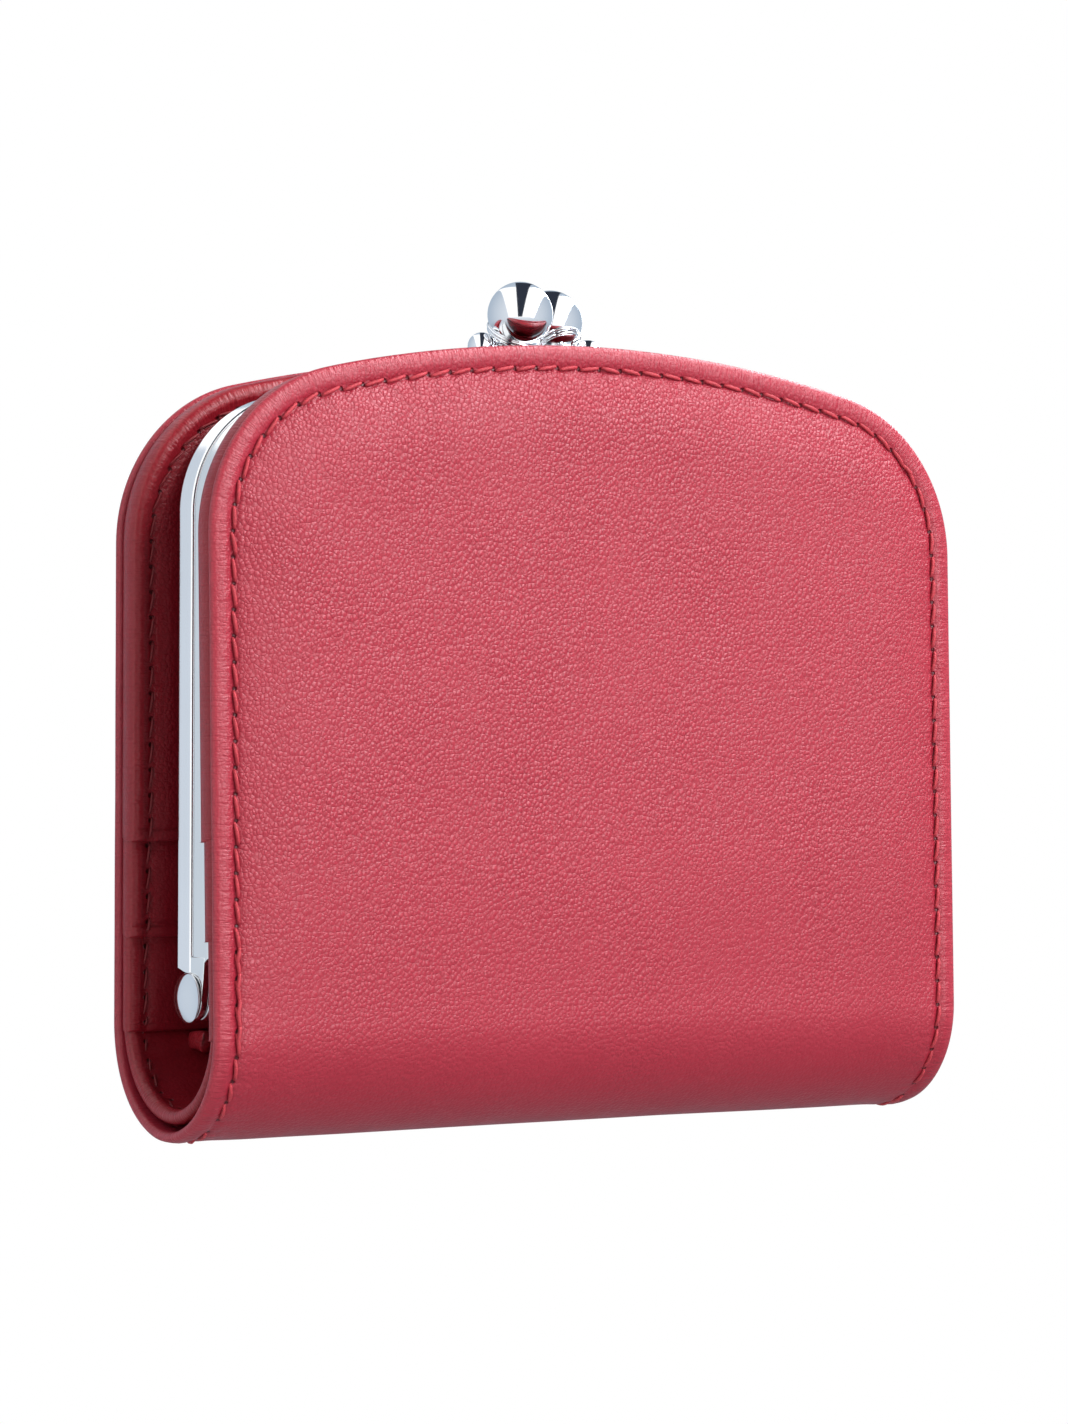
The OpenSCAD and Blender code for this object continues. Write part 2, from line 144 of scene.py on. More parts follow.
def steps(low, high, step, fine=()):
    """Values from low to high, with short steps near low."""
    out = [low + f for f in fine if low + f < high]
    start = out[-1] if out else low
    n = max(1, int(round((high - start) / step)))
    return out + [start + (high - start) * i / n for i in range(1 if out else 0, n + 1)]


def outline(half_w, top, crown, corner, low, step, fine=(0, 0.05, 0.2)):
    """Points and outward normals of an arch, from low on the right over the crown to low on the left."""
    cx, base = half_w - corner, top - crown
    cy = base + math.sqrt((crown - corner) ** 2 - cx**2)
    beta = math.atan2(cy - base, cx)
    pts, nrm = [], []
    for y in steps(low, cy, step, fine)[:-1]:
        pts.append((half_w, y))
        nrm.append((1, 0))
    n = max(6, int(corner * beta / step))
    for i in range(n):
        a = beta * i / n
        pts.append((cx + corner * math.cos(a), cy + corner * math.sin(a)))
        nrm.append((math.cos(a), math.sin(a)))
    n = int((math.pi / 2 - beta) * crown / step)
    for i in range(n + 1):
        a = beta + (math.pi / 2 - beta) * i / n
        pts.append((crown * math.cos(a), base + crown * math.sin(a)))
        nrm.append((math.cos(a), math.sin(a)))
    left = [(-x, y) for x, y in reversed(pts[:-1])]
    left_n = [(-x, y) for x, y in reversed(nrm[:-1])]
    return np.array(pts + left), np.array(nrm + left_n)


def strip(x, s, n, gap=0.0):
    """World points of the leather strip: s runs from the rear cover through the fold to the front cover."""
    x, s, n = (np.array(a, float) for a in np.broadcast_arrays(x, s, n))
    y, z = np.empty_like(s), np.empty_like(s)
    k = (PANEL_H - gap) / PANEL_H
    rear, front = s < 0, s > FOLD_L
    mid = ~(rear | front)
    y[rear] = FOLD_Y + gap - k * s[rear]
    z[rear] = FOLD_Z - FOLD_R - n[rear]
    a, r = s[mid] / FOLD_R, FOLD_R + n[mid]
    y[mid] = FOLD_Y + gap - r * np.sin(a)
    z[mid] = FOLD_Z - r * np.cos(a)
    t, r = gap + k * (s[front] - FOLD_L), FOLD_R + n[front]
    y[front] = FOLD_Y + t * math.cos(LEAN) + r * math.sin(LEAN)
    z[front] = FOLD_Z - t * math.sin(LEAN) + r * math.cos(LEAN)
    return np.stack([x, y, z], -1)


def panel_s(side, y):
    """Strip coordinate of height y on the rear (-1) or front (1) cover; y below 0 is on the fold."""
    return -y if side < 0 else FOLD_L + y


edge_line, edge_out = outline(HALF_W, PANEL_H, CROWN, CORNER, 0.0, 0.25, ())
seam_line = edge_line - STITCH_M * edge_out
STITCH_HALF = np.linalg.norm(np.diff(seam_line, axis=0), axis=1).sum() / 2
STITCH_ALL = 2 * STITCH_HALF + FOLD_L
PITCH = STITCH_ALL / round(STITCH_ALL / 3.0)


def arc_from_top(pts, nrm, margin):
    """Distance along the offset outline, counted from the middle of the crown."""
    run = run_along(pts - margin * nrm)
    return np.abs(run - run[-1] / 2)


def smooth01(t):
    t = np.clip(t, 0, 1)
    return t * t * (3 - 2 * t)


def ridge(v, at, width):
    """Bell-shaped ridge of height 1."""
    return np.exp(-(((v - at) / width) ** 2))


def noise_row(x, s, kx, ks, z, seed):
    """Smooth noise at each pair of x and s."""
    return np.array([rnd(a * kx, b * ks, z, seed) for a, b in zip(x, s)])


def puff(m, y):
    """Height of the padded middle over the rim, for a margin m and a height y over the fold."""
    side = 1 - (1 - np.clip((m - 3.0) / 8.5, 0, 1)) ** 2.1
    low = smooth01((y + 9.0) / 30.0)
    return PAD * side * low


def edge_profile(t, r, top_n):
    """Margins and heights of a rounded edge, from the inner face to the outer one."""
    out = []
    for i in range(EDGE_RINGS):
        a = -math.pi / 2 + math.pi * i / (EDGE_RINGS - 1)
        out.append((r * (1 - math.cos(a)), top_n - t / 2 + t / 2 * math.sin(a)))
    return out


INNER_M = (14.0, 11.0, 8.0, 5.5, 4.0, 2.8, 1.8, 1.1)
OUTER_M = (1.0, 1.4, 1.8, 2.1, 2.35, 2.6, 2.8, 3.0, 3.25, 3.5, 3.9, 4.4, 5.0, 5.8, 6.8, 8.0, 9.4, 11.0, 12.6,
           14.2)
SPINE_F = (1.0, 0.8, 0.6, 0.4, 0.2)
EDGE = range(len(SPINE_F) + len(INNER_M), len(SPINE_F) + len(INNER_M) + EDGE_RINGS)


def spine_rows(kind):
    return [(SPINE_M, f, kind) for f in SPINE_F]


def leaf_rows(edge, outer):
    """Rings of a leaf as (margin, share towards the middle, face or height): inner face, edge, outer face."""
    rows = spine_rows(-1) + [(m, 0, -1) for m in INNER_M] + [(m, 0, n) for m, n in edge]
    return rows + [(m, 0, 1) for m in outer] + spine_rows(1)[::-1]


def panel_points(pts, nrm, m, f):
    """Points of a ring at margin m, drawn in by share f towards the middle line."""
    q = pts - m * nrm
    if f <= 0:
        return q
    spine_top = PANEL_H - 34.0
    goal = np.stack([np.zeros(len(q)), np.minimum(q[:, 1], spine_top)], 1)
    return q + (goal - q) * f


def leather_n(m, y, x, phase, s):
    """Relief of the outer leather's face; s is the place along the strip, so that pieces meet at the cuts."""
    base = puff(m, y)
    groove = -0.20 * ridge(m, STITCH_M, 0.45)
    beat = np.cos(2 * np.pi * phase)
    pucker = 0.06 * beat * ridge(m, 3.8, 0.9) + 0.04 * beat * ridge(m, 1.8, 0.6)
    rim = 0.11 * ridge(m, 1.45, 0.75)
    wave = noise_row(x, s, 0.045, 0.045, 0, 3)
    near = noise_row(x, s, 0.16, 0.16, 2, 3)
    plateau = smooth01((m - 4) / 8)
    near = 0.10 * near * (1 - 0.7 * plateau) * smooth01(m / 1.5)
    return base + groove - pucker + rim + 0.16 * wave * plateau + near


def cover_leaf(name, side):
    """Outer leather of one cover with its end of the fold."""
    low = -CUTS[0] if side < 0 else CUTS[1] - FOLD_L
    pts, nrm = outline(HALF_W, PANEL_H, CROWN, CORNER, low, STEP)
    phase = arc_from_top(pts, nrm, STITCH_M) / PITCH
    verts, uv = [], []
    rows = leaf_rows(edge_profile(LEATHER_T, EDGE_R, 0), OUTER_M)
    wob = 0.12 * noise_row(pts[:, 0], panel_s(side, pts[:, 1]), 0.08, 0.08, 5, 3)
    for i, (m, f, kind) in enumerate(rows):
        q = panel_points(pts, nrm, m, f)
        mm = np.full(len(q), m + SPINE_SPAN * f)
        if i in EDGE:
            n = np.full(len(q), kind)
            q = q - nrm * wob[:, None] * 0.5
            n = n + 0.5 * wob
        elif kind < 0:
            n = -LEATHER_T + 0.97 * puff(mm, q[:, 1])
        else:
            n = leather_n(mm, q[:, 1], q[:, 0], phase, panel_s(side, q[:, 1]))
            n = n + 0.5 * wob * smooth01((3 - m) / 2)
        verts.append(strip(q[:, 0], panel_s(side, q[:, 1]), n))
        uv.append(np.stack([phase, mm / UV_SPAN], 1))
    faces = grid_faces(len(rows), len(pts))
    return new_mesh(name, np.concatenate(verts), faces, outer_mat, np.concatenate(uv))


def fold_noise(sign, s):
    """Unevenness of the edge along the fold; the covers' edges carry it on."""
    return noise_row(np.full(len(s), sign * HALF_W), s, 0.08, 0.08, 5, 3)


def fold_leaf(name, mat, edge, gap, inset, relief):
    """Middle third of the fold, of the outer leather or of the lining."""
    s0, s1 = CUTS
    s = np.array([s0, s0 + 0.05, s0 + 0.2, *np.linspace(s0 + STEP, s1 - STEP, 16), s1 - 0.2, s1 - 0.05, s1])
    verts, faces, uv = [], [], []
    prof = [(m + SPINE_REACH * f, kind) for m, f, kind in leaf_rows(edge, OUTER_M)]
    for sign in (1, -1):
        start = sum(len(v) for v in verts)
        for i, (m, kind) in enumerate(prof):
            x = np.full(len(s), sign * max(0.0, HALF_W - inset - m))
            if i in EDGE:
                wob = 0.06 * fold_noise(sign, s) * (inset == 0)
                x = x - sign * wob
                n = kind + wob
            else:
                n = relief(kind, m, s, x, sign)
            verts.append(strip(x, s, n, gap))
            uv.append(np.stack([(STITCH_HALF + s) / PITCH, np.full(len(s), m / UV_SPAN)], 1))
        faces += grid_faces(len(prof), len(s), start)
    return new_mesh(name, np.concatenate(verts), faces, mat, np.concatenate(uv))


def fold_outer_relief(kind, m, s, x, sign):
    mm, y = np.full_like(s, m), -np.minimum(s, FOLD_L - s)
    if kind < 0:
        return -LEATHER_T + 0.97 * puff(mm, y)
    relief = leather_n(mm, y, x, (STITCH_HALF + s) / PITCH, s)
    return relief + 0.5 * (0.12 * fold_noise(sign, s)) * smooth01((3 - m) / 2)


# Materials
class Nodes:
    """Short calls for building the node tree of a material or of the world."""

    def __init__(self, owner):
        owner.use_nodes = True
        self.owner, self.tree = owner, owner.node_tree

    def fill(self, socket, v):
        if isinstance(v, bpy.types.NodeSocket):
            self.tree.links.new(v, socket)
        else:
            socket.default_value = v

    def node(self, kind, values=None, **settings):
        """A new node; values gives its inputs numbers or links."""
        n = self.tree.nodes.new(kind)
        for key, v in settings.items():
            setattr(n, key, v)
        for key, v in (values or {}).items():
            self.fill(n.inputs[key], v)
        return n

    def shader(self, values):
        """Fills inputs of the material's main shader and gives the material back."""
        bsdf = next(n for n in self.tree.nodes if n.type == "BSDF_PRINCIPLED")
        for key, v in values.items():
            self.fill(bsdf.inputs[key], v)
        return self.owner

    def math(self, op, a, b=0.0, clamp=False):
        return self.node("ShaderNodeMath", {0: a, 1: b}, operation=op, use_clamp=clamp).outputs[0]

    def add(self, a, b):
        return self.math("ADD", a, b)

    def sub(self, a, b):
        return self.math("SUBTRACT", a, b)

    def mul(self, a, b):
        return self.math("MULTIPLY", a, b)

    def vector(self, op, values):
        return self.node("ShaderNodeVectorMath", values, operation=op).outputs[0]

    def noise(self, vec, scale, detail, rough, distortion=0.0):
        values = {"Vector": vec, "Scale": scale, "Detail": detail, "Roughness": rough}
        return self.node("ShaderNodeTexNoise", {**values, "Distortion": distortion}).outputs["Fac"]

    def cells(self, vec, scale, feature):
        n = self.node("ShaderNodeTexVoronoi", {"Vector": vec, "Scale": scale}, feature=feature)
        return n.outputs["Distance"]

    def range(self, v, a, b, c=0.0, d=1.0):
        values = {"Value": v, "From Min": a, "From Max": b, "To Min": c, "To Max": d}
        return self.node("ShaderNodeMapRange", values, clamp=True).outputs[0]

    def mix(self, fac, a, b):
        """Colour a turned into colour b by fac."""
        a, b = ((*v, 1) if isinstance(v, tuple) else v for v in (a, b))
        return self.node("ShaderNodeMix", {0: fac, 6: a, 7: b}, data_type="RGBA").outputs[2]

    def bump(self, height, strength, distance, normal=None):
        values = {"Height": height, "Strength": strength, "Distance": distance}
        if normal is not None:
            values["Normal"] = normal
        return self.node("ShaderNodeBump", values).outputs["Normal"]

    def stretched(self, u, m, scale_u, scale_m, detail):
        """Noise drawn out along or across the seam."""
        vec = self.node("ShaderNodeCombineXYZ", {0: self.mul(u, scale_u), 1: self.mul(m, scale_m)}).outputs[0]
        return self.noise(vec, 1.0, detail, 0.6)

    def coords(self):
        return self.node("ShaderNodeTexCoord").outputs["Object"]


def shade(colour, share):
    return tuple(c * share for c in colour)


def leather(name, main, deep, worn, rough, grain, stitched=True, wrinkle=0.0, gloss=0.5):
    """Fine pebbled nappa: grain, soft colour drift, needle holes and puckers along the seam; painted shade
    darkens the grain's creases and the needle holes.
    """
    k = Nodes(bpy.data.materials.new(name))
    p = k.coords()
    drawn = k.node("ShaderNodeTexNoise", {"Vector": p, "Scale": 700}).outputs["Color"]
    v = k.vector("ADD", {0: p, 1: k.vector("SCALE", {0: drawn, "Scale": 0.00022})})
    creases = k.range(k.cells(v, 1900, "DISTANCE_TO_EDGE"), 0.0, 0.16)
    big = k.range(k.cells(v, 620, "DISTANCE_TO_EDGE"), 0.0, 0.10)
    patch = k.range(k.noise(p, 60, 3, 0.55), 0.38, 0.66, 0.25, 1.0)
    pebble = k.mul(k.sub(1.0, k.cells(v, 1900, "F1")), k.add(0.45, k.mul(patch, 0.75)))
    height = k.add(k.mul(creases, 0.22), k.mul(big, k.mul(patch, 0.06)))
    height = k.add(k.add(height, pebble), k.mul(k.noise(p, 3200, 3, 0.6), 0.12))
    if stitched:
        uv = k.node("ShaderNodeUVMap", uv_map="Stitch").outputs[0]
        sep = k.node("ShaderNodeSeparateXYZ", {0: uv}).outputs
        u, m = sep[0], k.mul(sep[1], UV_SPAN)
        height = k.mul(height, k.range(m, 1.6, 3.4, 0.35, 1.0))
        spot = k.node("ShaderNodeSeparateXYZ", {0: p}).outputs
        height = k.mul(height, k.range(spot[1], -0.044, -0.010, 0.45, 1.0))
    normal = k.bump(height, 1.0, 0.000115 * grain)
    normal = k.bump(k.noise(p, 130, 4, 0.6, 0.3), 0.10 + wrinkle, 0.0006, normal)
    drift = k.range(k.noise(p, 22, 3, 0.6), 0.3, 0.7)
    colour = k.mix(drift, main, tuple(0.92 * a + 0.08 * b for a, b in zip(main, deep)))
    # Painted shade: the grain's creases are turned a little towards the deep colour, as if shaded.
    colour = k.mix(k.mul(k.sub(1.0, creases), 0.15), colour, deep)
    colour = k.mix(k.range(k.noise(p, 900, 2, 0.5), 0.62, 0.78, 0.0, 0.18), colour, worn)
    if stitched:
        dx = k.mul(k.sub(k.math("FRACT", k.add(u, 0.5)), 0.5), PITCH)
        dm = k.sub(m, STITCH_M)
        hole = k.range(k.math("SQRT", k.add(k.mul(dx, dx), k.mul(dm, dm))), 0.17, 0.34, 1.0, 0.0)
        # Painted shade: each needle hole gets a nearly black spot for the shadow inside it.
        colour = k.mix(k.mul(hole, 0.9), colour, shade(deep, 0.25))
        near = k.range(k.math("ABSOLUTE", k.sub(m, 3.2)), 0.4, 3.8, 1.0, 0.0)
        normal = k.bump(k.mul(k.stretched(u, m, 3.1, 0.16, 3), near), 0.32, 0.0006, normal)
        ladder = k.mul(k.stretched(u, m, 7.5, 0.45, 2), k.range(m, 1.7, 2.6, 1.0, 0.0))
        normal = k.bump(ladder, 0.5, 0.0003, normal)
        normal = k.bump(k.mul(hole, -1.0), 0.8, 0.0003, normal)
        colour = k.mix(k.mul(k.range(m, 0.0, 1.3, 0.35, 0.0), k.noise(p, 500, 2, 0.5)), colour, worn)
    uneven = k.range(k.noise(p, 240, 3, 0.6), 0.3, 0.7, rough - 0.05, rough + 0.07)
    values = {"Base Color": colour, "Roughness": uneven, "Normal": normal, "Specular IOR Level": gloss}
    return k.shader(values)


def metal(name, colour=(0.90, 0.91, 0.93), rough=0.06, crown=0.0):
    """Polished nickel with faint handling marks; crown tips the shading upwards, as on a rounded face."""
    k = Nodes(bpy.data.materials.new(name))
    p = k.coords()
    marks = k.range(k.noise(p, 900, 4, 0.7), 0.35, 0.75, rough, rough + 0.048)
    wide = k.noise(p, 70, 2, 0.5)
    normal = k.bump(wide, 0.04, 0.0005)
    if crown:
        normal = k.vector("NORMALIZE", {0: k.vector("ADD", {0: normal, 1: (0, 0, crown)})})
    tone = k.mix(k.range(wide, 0.3, 0.7), colour, shade(colour, 0.96))
    return k.shader({"Base Color": tone, "Roughness": marks, "Normal": normal, "Metallic": 1.0})


def fibrous(name, colour, dark, span, noise_args, bump, rough):
    """Thread, board, foam or paper: two tones and a relief of one fine noise."""
    k = Nodes(bpy.data.materials.new(name))
    n = k.noise(k.coords(), *noise_args)
    tone = k.mix(k.range(n, *span), shade(colour, dark), colour)
    return k.shader({"Base Color": tone, "Normal": k.bump(n, *bump), "Roughness": rough})


def thread_material(name, colour):
    return fibrous(name, colour, 0.62, (0.35, 0.7), (2600, 3, 0.6, 1.2), (0.6, 0.00012), 0.62)


def plain_stuff(name, colour, rough, scale, depth):
    return fibrous(name, colour, 0.85, (0.3, 0.7), (scale, 4, 0.65), (0.5, depth), rough)


outer_mat = leather("outer_leather", (0.256, 0.0140, 0.0285), (0.13, 0.004, 0.008), (0.40, 0.055, 0.07),
                    0.38, 1.0, gloss=0.44)
lining_mat = leather("lining_leather", (0.205, 0.0072, 0.014), (0.085, 0.0020, 0.0040), (0.30, 0.022, 0.030),
                     0.33, 0.55, True, 0.22, 0.38)
pouch_mat = leather("pouch_leather", (0.260, 0.0110, 0.019), (0.11, 0.003, 0.005), (0.31, 0.032, 0.040),
                    0.38, 0.6, False, 0.2, 0.4)
nickel_mat = metal("nickel")
rear_frame_mat = metal("rear_frame_nickel", rough=0.13, crown=0.40)
# Painted shade: the front half is the same nickel as the rear half, given a darker colour.
front_frame_shaded_mat = metal("front_frame_nickel_shaded", (0.84, 0.86, 0.87), rough=0.15, crown=0.30)
thread_mat = thread_material("red_thread", (0.40, 0.028, 0.042))
dark_thread_mat = thread_material("dark_thread", (0.19, 0.009, 0.014))
foam_mat = plain_stuff("foam", (0.78, 0.76, 0.72), 0.95, 900, 0.0003)
board_mat = plain_stuff("board", (0.42, 0.40, 0.36), 0.9, 1400, 0.0001)
paper_mat = plain_stuff("paper_cord", (0.60, 0.50, 0.33), 0.85, 1800, 0.0001)


def bend(ob, hinge):
    """Bakes a piece's placement into its mesh; the point on its hinge line is worked out but not used."""
    a = HINGES[hinge]
    at = strip(0.0, FOLD_R * a, 0.0)
    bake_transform(ob)


def finish_piece(ob, slot, *nodes):
    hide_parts(*nodes)
    return ob


outer_rear = cover_leaf("outer_leather_rear", -1)
outer_front = cover_leaf("outer_leather_front", 1)
outer_fold = fold_leaf("outer_leather_fold", outer_mat, edge_profile(LEATHER_T, EDGE_R, 0.0), 0.0, 0.0,
                       fold_outer_relief)
LINING_EDGE = edge_profile(LINING_T + LINING_TURN, LINING_EDGE_R, -LEATHER_T - PLAY)


def lining_relief(kind, m, s, x, sign):
    """Back and face of the lining; it is wrinkled on the inside of the bend."""
    if kind > 0:
        return np.full(len(s), -LEATHER_T - PLAY)
    deep = np.minimum(s, FOLD_L - s)
    roll = 0.46 * ridge(m, 1.15, 0.8)
    press = 0.30 * ridge(deep, 2.1, 0.6) * (s > 0) * (s < FOLD_L)
    wr = noise_row(x, s, 0.10, 0.42, 1, 9) + 0.5 * noise_row(x, s, 0.3, 0.8, 4, 2)
    wr = 0.30 * wr * smooth01((deep + 3) / 9) * smooth01((m - 1) / 2)
    groove = 0.30 * ridge(m, STITCH_M - LINING_IN, 0.5)
    return -LEATHER_T - LINING_T + wr + groove - roll + press


def lining_leaf(name, side):
    """Lining of one cover with its end of the fold."""
    low = -CUTS[0] if side < 0 else CUTS[1] - FOLD_L
    pts, nrm = outline(*(size - LINING_IN for size in (HALF_W, PANEL_H, CROWN, CORNER)), low, STEP)
    phase = arc_from_top(pts, nrm, STITCH_M) / PITCH
    rows = leaf_rows(LINING_EDGE, OUTER_M[::3])
    verts, uv = [], []
    for i, (m, f, kind) in enumerate(rows):
        q = panel_points(pts, nrm, m, f)
        s = panel_s(side, q[:, 1])
        if i in EDGE:
            n = np.full(len(q), kind)
        else:
            n = lining_relief(kind, m + SPINE_SPAN * f, s, q[:, 0], 1)
        verts.append(strip(q[:, 0], s, n, FOLD_GAP))
        uv.append(np.stack([phase, np.full(len(q), (m + LINING_IN + SPINE_SPAN * f) / UV_SPAN)], 1))
    faces = grid_faces(len(rows), len(pts))
    return new_mesh(name, np.concatenate(verts), faces, lining_mat, np.concatenate(uv))


lining_rear = lining_leaf("lining_leather_rear", -1)
lining_front = lining_leaf("lining_leather_front", 1)
lining_fold = fold_leaf("lining_leather_fold", lining_mat, LINING_EDGE, FOLD_GAP, LINING_IN, lining_relief)


def card_pocket(name, side, level):
    """A card pocket: its mouth is a rolled edge with a pressed crease, and its sides wrap what is below."""
    mouth = MOUTHS[level]
    inset = 0.42 - 0.12 * level
    top = -LEATHER_T - LINING_T - POCKET_T * (level + 1)
    pts, nrm = outline(*(size - inset for size in (HALF_W, PANEL_H, CROWN, CORNER)), mouth, STEP,
                       (0, 0.04, 0.12, 0.25, 0.45, 0.8, 1.1, 1.25, 1.4, 1.55, 1.7, 1.9))
    phase = arc_from_top(pts, nrm, STITCH_M - inset) / PITCH
    low_edge = -LEATHER_T - 0.12
    wrap = low_edge - top
    rows = spine_rows("face") + [(m, 0, "face") for m in (11, 8, 5.5, 4, 3.3, 2.8, 2.3, 1.8, 1.2)]
    rows += [(0.55 * (1 - math.sin(a)), 0, top + 0.5 * wrap - 0.5 * wrap * math.cos(a))
             for a in np.linspace(0.15, math.pi - 0.1, 10)]
    rows += [(1.3, 0, low_edge - 0.02), (1.6, 0, "back"), (4.0, 0, "back")] + spine_rows("back")[::-1]
    verts, uv = [], []
    middle = top + POCKET_T / 2
    roll = np.sqrt(np.clip(1 - (1 - np.clip((pts[:, 1] - mouth) / 0.45, 0, 1)) ** 2, 0, 1))
    for m, f, kind in rows:
        q = panel_points(pts, nrm, m, f)
        mm = m + SPINE_SPAN * f
        if kind == "face":
            crease = 0.24 * ridge(q[:, 1], mouth + 1.5, 0.22) * (level > 0)
            if level < 2:
                crease = crease + 0.34 * ridge(q[:, 1], MOUTHS[level + 1] - 0.35, 0.55)
            groove = 0.26 * ridge(mm, STITCH_M - inset, 0.5) - 0.30 * ridge(mm, 1.2, 0.7)
            wave = 0.10 * noise_row(*q.T, 0.07, 0.09, 3, 5 + level)
            n = top + crease + groove + wave * smooth01(mm / 6)
        elif kind == "back":
            n = np.full(len(q), top + POCKET_T)
        else:
            n = np.full(len(q), kind)
        n = middle + (n - middle) * roll
        verts.append(strip(q[:, 0], panel_s(side, q[:, 1]), n))
        uv.append(np.stack([phase, np.full(len(q), (mm + inset) / UV_SPAN)], 1))
    faces = grid_faces(len(rows), len(pts))
    return new_mesh(name, np.concatenate(verts), faces, lining_mat, np.concatenate(uv))


for side, word, body in ((-1, "rear", "rear_cover"), (1, "front", "front_cover")):
    for level, height in enumerate(("low", "mid", "high")):
        ob = card_pocket(f"{word}_pocket_{height}_leather", side, level)
        finish_piece(ob, "lining_leather", f"{word}_card_pocket_{height}")
        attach(ob, body)


def tube(points, radius, sides):
    """Vertices and faces of a closed tube along points; radius is one number or one for each point."""
    pts = np.asarray(points, float)
    tang = np.gradient(pts, axis=0)
    tang /= np.linalg.norm(tang, axis=1)[:, None]
    ref = np.array([0.0, 0.0, 1.0]) if abs(tang[0][2]) < 0.9 else np.array([0.0, 1.0, 0.0])
    verts = []
    r = np.broadcast_to(radius, len(pts))
    for p, t, w in zip(pts, tang, r):
        a = unit(np.cross(t, ref))
        ref = np.cross(a, t)
        verts += [p + w * turned(2 * math.pi * i / sides, a, ref) for i in range(sides)]
    return verts, capped(grid_faces(len(pts), sides, 0, False, True), len(pts), sides)


def joined(parts):
    verts, faces = [], []
    for v, f in parts:
        base = len(verts)
        verts += [tuple(p) for p in v]
        faces += [tuple(base + i for i in face) for face in f]
    return verts, faces


class SeamPath:
    """Place on the seam of a cover or the fold, by distance from the middle of the rear crown."""

    def __init__(self):
        half = len(seam_line) // 2
        self.q, self.n = seam_line[: half + 1][::-1], edge_out[: half + 1][::-1]
        self.run = run_along(self.q)

    def at(self, run, sign, face, lift, slant=0.0, gap=0.0):
        """World point; face(y) gives the height of the surface, lift is added outwards."""
        if run <= self.run[-1] or run >= STITCH_ALL - self.run[-1]:
            front = run > STITCH_ALL / 2
            d = STITCH_ALL - run if front else run
            x = np.interp(d, self.run, self.q[:, 0])
            y = np.interp(d, self.run, self.q[:, 1])
            nx, ny = np.interp(d, self.run, self.n[:, 0]), np.interp(d, self.run, self.n[:, 1])
            x, y = x + slant * nx, y + slant * ny
            s = panel_s(1 if front else -1, y)
        else:
            x, s = HALF_W - STITCH_M + slant, run - self.run[-1]
            y = -min(s, FOLD_L - s)
        return strip(sign * x, s, face(y) + lift, gap)


seam = SeamPath()
# How far a stitch stays from the middle of its holes, and the points along it
STITCH_IN, STITCH_POINTS = 0.24, 7


def seam_runs(low, high):
    """Start and end of each stitch between two places of the seam."""
    first = int(math.ceil(low / PITCH - 1e-6))
    last = int(math.floor(high / PITCH + 1e-6))
    return [(i * PITCH + STITCH_IN, (i + 1) * PITCH - STITCH_IN) for i in range(first, last)]


def outer_face(y):
    return -0.06 - 0.11 * float(smooth01((-y - 3.0) / 6.0))


def inner_face(y):
    level = sum(y > m for m in MOUTHS)
    return -LEATHER_T - LINING_T - POCKET_T * level + 0.10


def seam_threads(name, low, high, face, sense, gap, mat, thick, doubled=()):
    """Stitches of both sides between two places of the seam; doubled ones lie over the ends of the seam."""
    runs = [(sign, a, b, 1.0, 0.0) for sign in (1, -1) for a, b in seam_runs(low, high)]
    for sign, first, last in doubled:
        runs += [(sign, a + 0.45 * PITCH, b + 0.30 * PITCH, -0.9, 0.12) for a, b in seam_runs(first, last)]
    parts = []
    for sign, start, end, way, over in runs:
        uneven = rnd(start * 0.7, sign * 3.1, 0.0, 4.0)
        pts = []
        for t in np.arange(STITCH_POINTS) / (STITCH_POINTS - 1):
            run = start + (end - start) * t
            lift = sense * (thick * (1.0 + 0.25 * uneven) * math.sin(math.pi * t) ** 0.55 - 0.05 + over)
            p = seam.at(run, sign, face, lift, (0.20 + 0.10 * uneven) * (t - 0.5) * 2 * way, gap)
            pts.append(np.asarray(p, float).reshape(3))
        share = 0.1 + 0.8 * np.arange(STITCH_POINTS) / (STITCH_POINTS - 1)
        parts.append(tube(pts, thick * (0.60 + 0.40 * np.sin(math.pi * share)), 7))
    verts, faces = joined(parts)
    return new_mesh(name, np.array(verts), faces, mat, None, False)


A_END, B_END, FRONT_START = (STITCH_HALF + s for s in (*CUTS, FOLD_L))
BACK_TACKS = ((-1, FRONT_START - 4.8, FRONT_START + 8.8), (1, STITCH_ALL - 52, STITCH_ALL - 46))
RANGES = (("rear", 0, A_END), ("fold", A_END, B_END), ("front", B_END, STITCH_ALL))
threads = [seam_threads(f"seam_thread_{word}", low, high, outer_face, 1, 0, thread_mat, 0.25,
                        BACK_TACKS if word == "front" else ()) for word, low, high in RANGES]
threads += [seam_threads(f"inner_thread_{word}", low, high, inner_face, -1, FOLD_GAP, dark_thread_mat, 0.17)
            for word, low, high in RANGES]


FOAM_LOW = 4.2


def foam_leaf(name, side):
    """Foam under the outer leather, crowned and thinned towards the seam."""
    pts, nrm = outline(HALF_W, PANEL_H, CROWN, CORNER, FOAM_LOW, 2.0, ())
    rows = spine_rows(0) + [(m, 0, 0) for m in (12.0, 9.0, 7.0, 5.5, 4.6)]
    rows += [(4.3, 0, 0.5)] + [(m, 0, 1) for m in (4.6, 5.5, 7.0, 9.0, 12.0)] + spine_rows(1)[::-1]
    verts = []
    for m, f, t in rows:
        q = panel_points(pts, nrm, m, f)
        end = smooth01((q[:, 1] - FOAM_LOW) / 2.5)
        n = -LEATHER_T + 0.01 + t * (0.86 * puff(m + SPINE_SPAN * f, q[:, 1]) * end)
        verts.append(strip(q[:, 0], panel_s(side, q[:, 1]), n))
    return new_mesh(name, np.concatenate(verts), grid_faces(len(rows), len(pts)), foam_mat)


